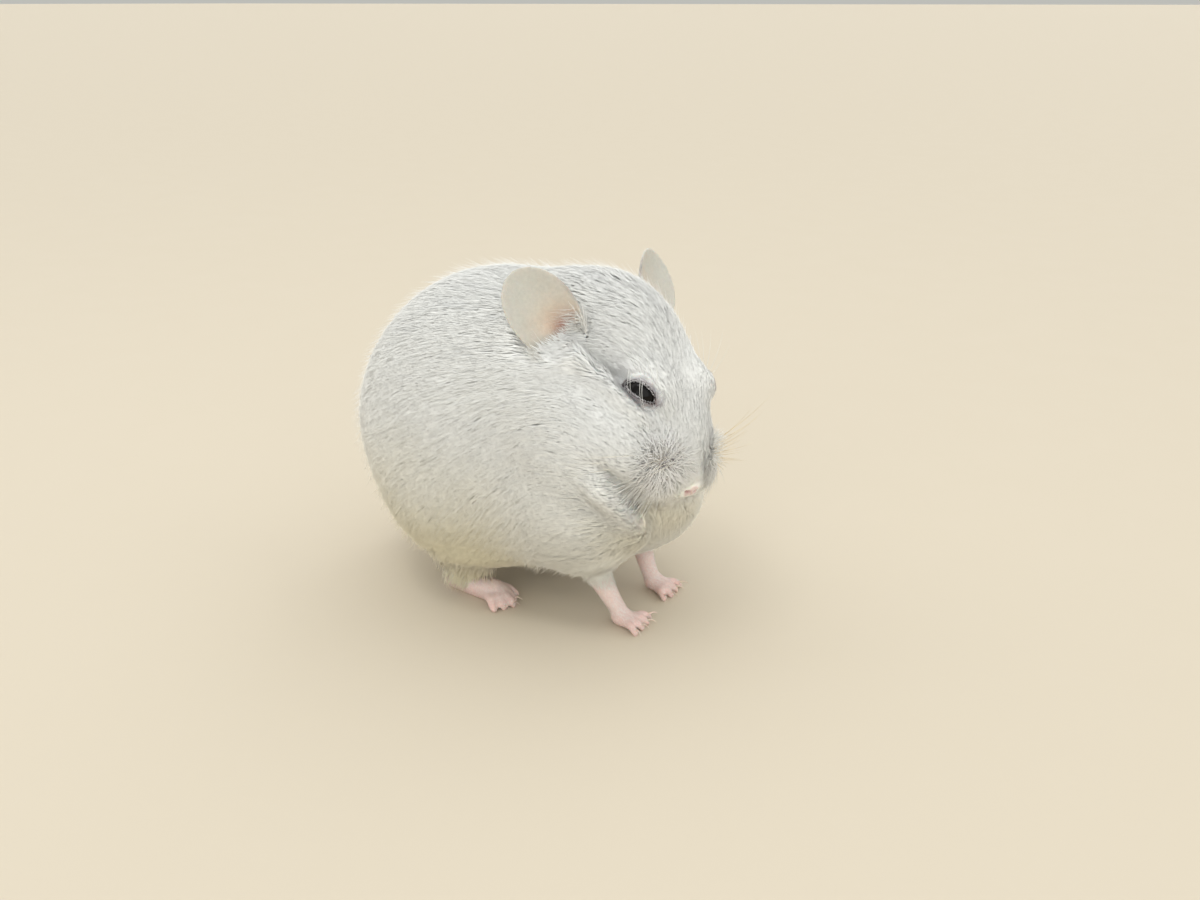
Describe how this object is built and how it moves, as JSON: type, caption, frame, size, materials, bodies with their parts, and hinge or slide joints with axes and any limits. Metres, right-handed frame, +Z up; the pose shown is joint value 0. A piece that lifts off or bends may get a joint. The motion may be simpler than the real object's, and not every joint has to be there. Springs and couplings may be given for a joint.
{
  "type": "syrian hamster",
  "caption": "Still, life-size model of a young white Syrian hamster, hunched on all four feet with its head turned to its right and lowered.",
  "frame": {"origin": "middle of the bounding box's base, on the floor under the body", "axes": "+X forward along the body, +Y to the animal's left, +Z up"},
  "size_m": [0.075, 0.0526, 0.0649],
  "materials": {
    "fur": "dense soft white coat",
    "skin": "thin pink skin with sparse short hair",
    "ear": "thin, nearly bare, light passes through",
    "nose": "bare, slightly moist",
    "eye": "wet gloss, nearly black"
  },
  "bodies": {
    "root": {"head": "fur", "neck": "fur", "trunk": "fur", "foreleg_left": "fur", "foreleg_right": "fur", "hindleg_left": "fur", "hindleg_right": "fur", "forepaw_left": "skin", "forepaw_right": "skin", "hindpaw_left": "skin", "hindpaw_right": "skin", "tail": "skin", "ear_left": "ear", "ear_right": "ear", "nose": "nose", "eye_left": "eye", "eye_right": "eye"}
  },
  "joints": []
}
